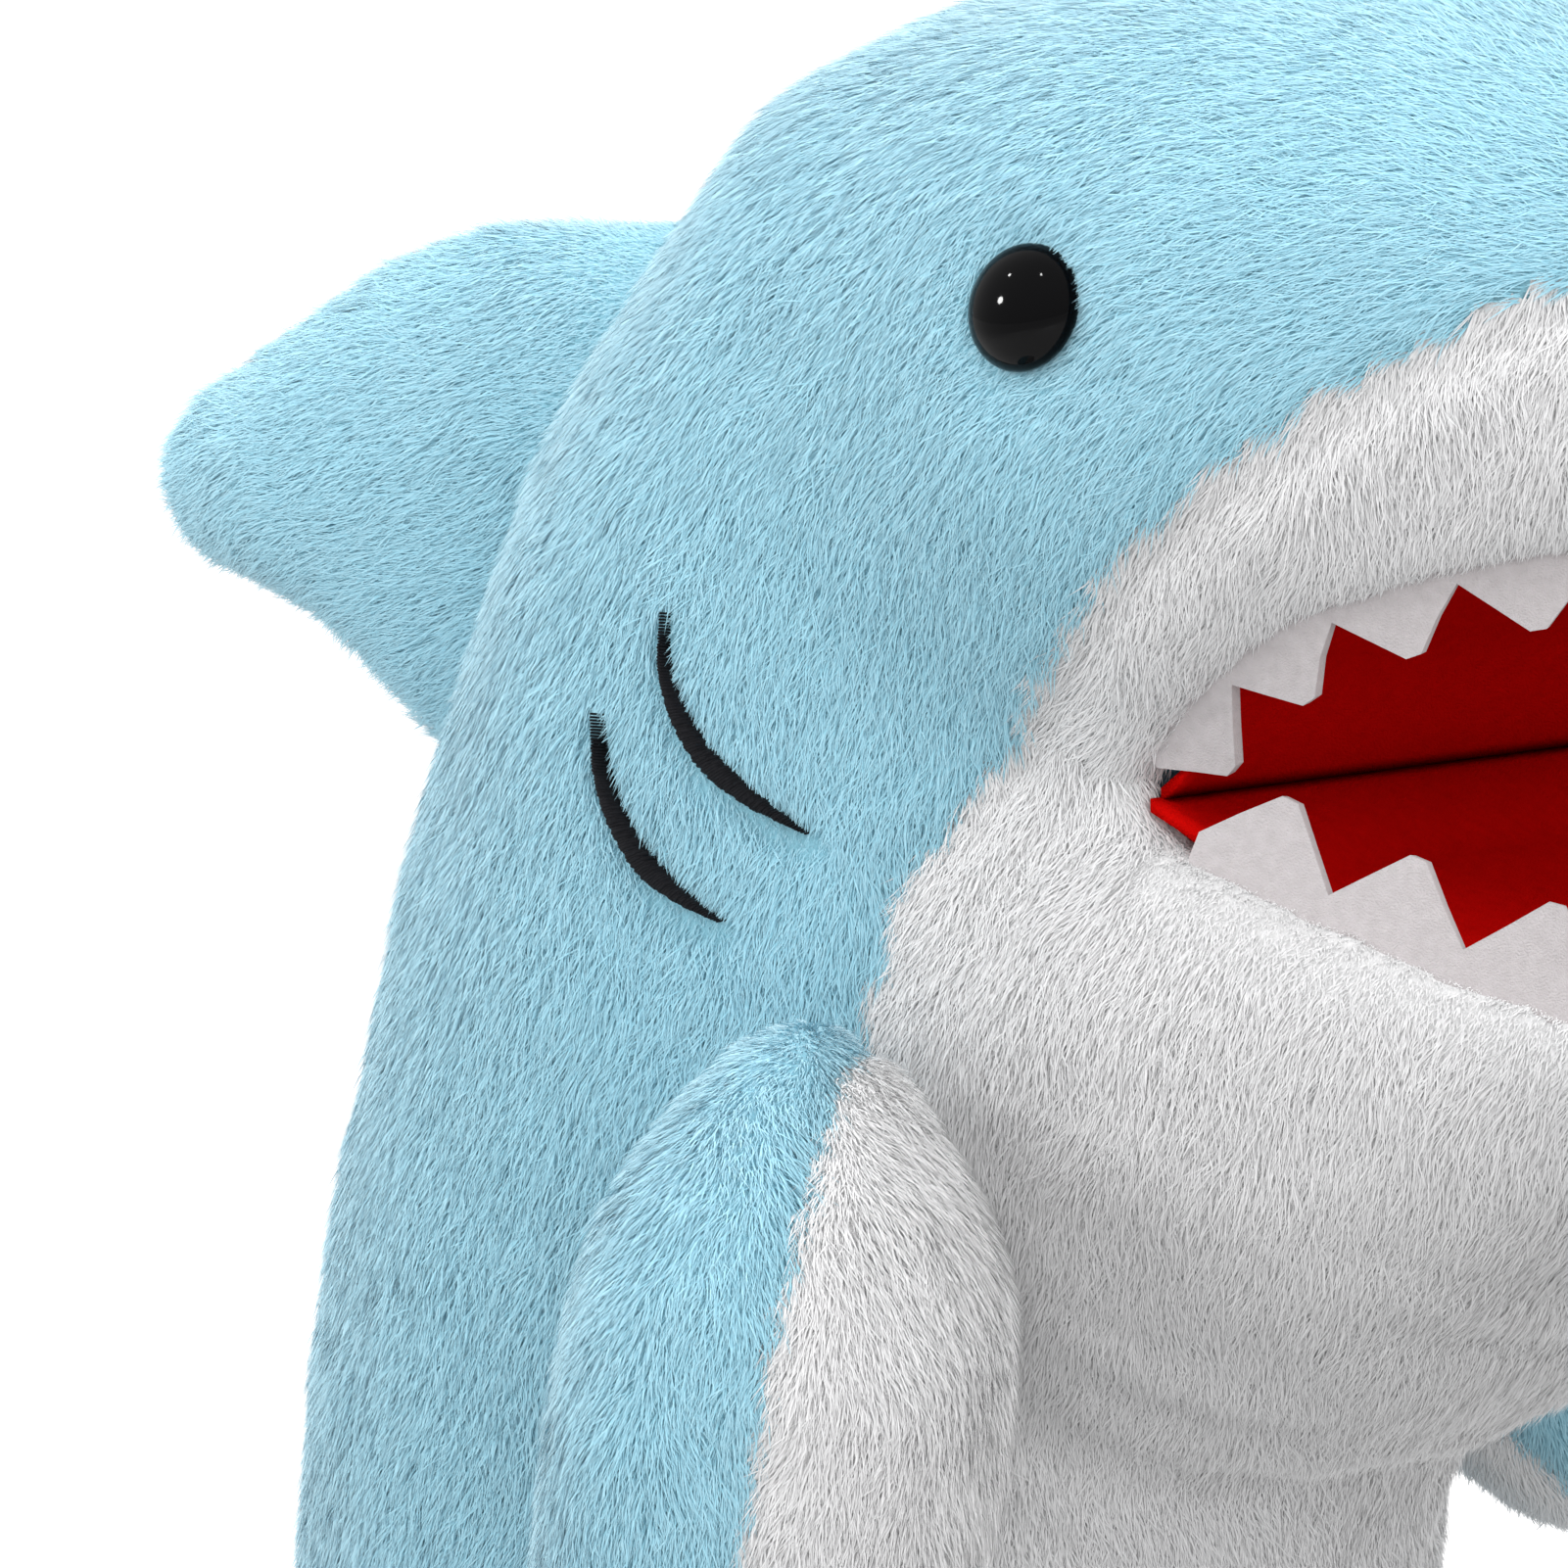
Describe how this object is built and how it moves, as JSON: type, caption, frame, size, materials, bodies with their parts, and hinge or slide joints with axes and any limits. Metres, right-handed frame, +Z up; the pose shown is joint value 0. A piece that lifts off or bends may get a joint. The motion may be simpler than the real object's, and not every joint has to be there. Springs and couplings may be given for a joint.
{
  "type": "plush shark hand puppet",
  "caption": "Soft plush shark glove puppet with an open mouth, felt teeth, stuffed fins and a hollow sleeve for the hand.",
  "frame": {"origin": "centre of the object's box, on the floor under the hem", "axes": "+Z up, the shark looks along -Y, its left side is +X"},
  "size_m": [0.239, 0.263, 0.272],
  "materials": {
    "blue_plush": "soft short pile",
    "white_plush": "soft short pile",
    "red_felt": "matt felt",
    "white_felt": "matt felt",
    "black_thread": "satin stitch",
    "black_plastic": "polished",
    "clear_plastic": "moulded",
    "lining_cloth": "plain weave",
    "fibre_filling": "loose fibre"
  },
  "bodies": {
    "sleeve": {"hem_band": "lining_cloth", "back_skin": "blue_plush", "belly_skin": "white_plush", "sleeve_lining": "lining_cloth", "gill_stitch_front_left": "black_thread", "gill_stitch_rear_left": "black_thread", "gill_stitch_front_right": "black_thread", "gill_stitch_rear_right": "black_thread"},
    "head": {"crown_skin": "blue_plush", "upper_lip_skin": "white_plush", "head_stuffing": "fibre_filling", "finger_pocket": "lining_cloth", "palate_lining": "red_felt", "upper_teeth": "white_felt", "eye_left": "black_plastic", "eye_right": "black_plastic", "eye_washer_left": "clear_plastic", "eye_washer_right": "clear_plastic"},
    "jaw": {"jaw_skin": "white_plush", "jaw_stuffing": "fibre_filling", "thumb_pocket": "lining_cloth", "mouth_floor_lining": "red_felt", "lower_teeth": "white_felt"},
    "pectoral_right": {"pectoral_right_blue_panel": "blue_plush", "pectoral_right_white_panel": "white_plush", "pectoral_right_stuffing": "fibre_filling"},
    "pectoral_left": {"pectoral_left_blue_panel": "blue_plush", "pectoral_left_white_panel": "white_plush", "pectoral_left_stuffing": "fibre_filling"},
    "dorsal_fin": {"dorsal_fin_left_panel": "blue_plush", "dorsal_fin_right_panel": "blue_plush", "dorsal_fin_stuffing": "fibre_filling"},
    "tail_fin": {"tail_fin_left_panel": "blue_plush", "tail_fin_right_panel": "blue_plush", "tail_fin_stuffing": "fibre_filling"}
  },
  "joints": [
    {"name": "head_nod", "type": "hinge", "parent": "sleeve", "child": "head", "pos_m": [-0.01534, -0.04248, 0.19], "axis": [1, 0, 0], "range_deg": [-8, 16], "stiffness_Nm_per_rad": 1.2},
    {"name": "jaw_gape", "type": "hinge", "parent": "sleeve", "child": "jaw", "pos_m": [-0.01534, -0.04248, 0.19], "axis": [1, 0, 0], "range_deg": [-12, 10], "stiffness_Nm_per_rad": 0.5},
    {"name": "pectoral_right_lift", "type": "hinge", "parent": "sleeve", "child": "pectoral_right", "pos_m": [-0.07334, -0.01748, 0.178], "axis": [0, 1, 0], "range_deg": [0, 30], "stiffness_Nm_per_rad": 0.3},
    {"name": "pectoral_left_lift", "type": "hinge", "parent": "sleeve", "child": "pectoral_left", "pos_m": [0.04266, -0.01448, 0.164], "axis": [0, -1, 0], "range_deg": [0, 25], "stiffness_Nm_per_rad": 0.3},
    {"name": "dorsal_fin_flex", "type": "hinge", "parent": "sleeve", "child": "dorsal_fin", "pos_m": [-0.01534, 0.05052, 0.212], "axis": [0, -0.3312, 0.9435], "range_deg": [-10, 10], "stiffness_Nm_per_rad": 0.3},
    {"name": "tail_fin_flex", "type": "hinge", "parent": "sleeve", "child": "tail_fin", "pos_m": [-0.01534, 0.07852, 0.048], "axis": [0, 0, 1], "range_deg": [-15, 15], "stiffness_Nm_per_rad": 0.2}
  ]
}
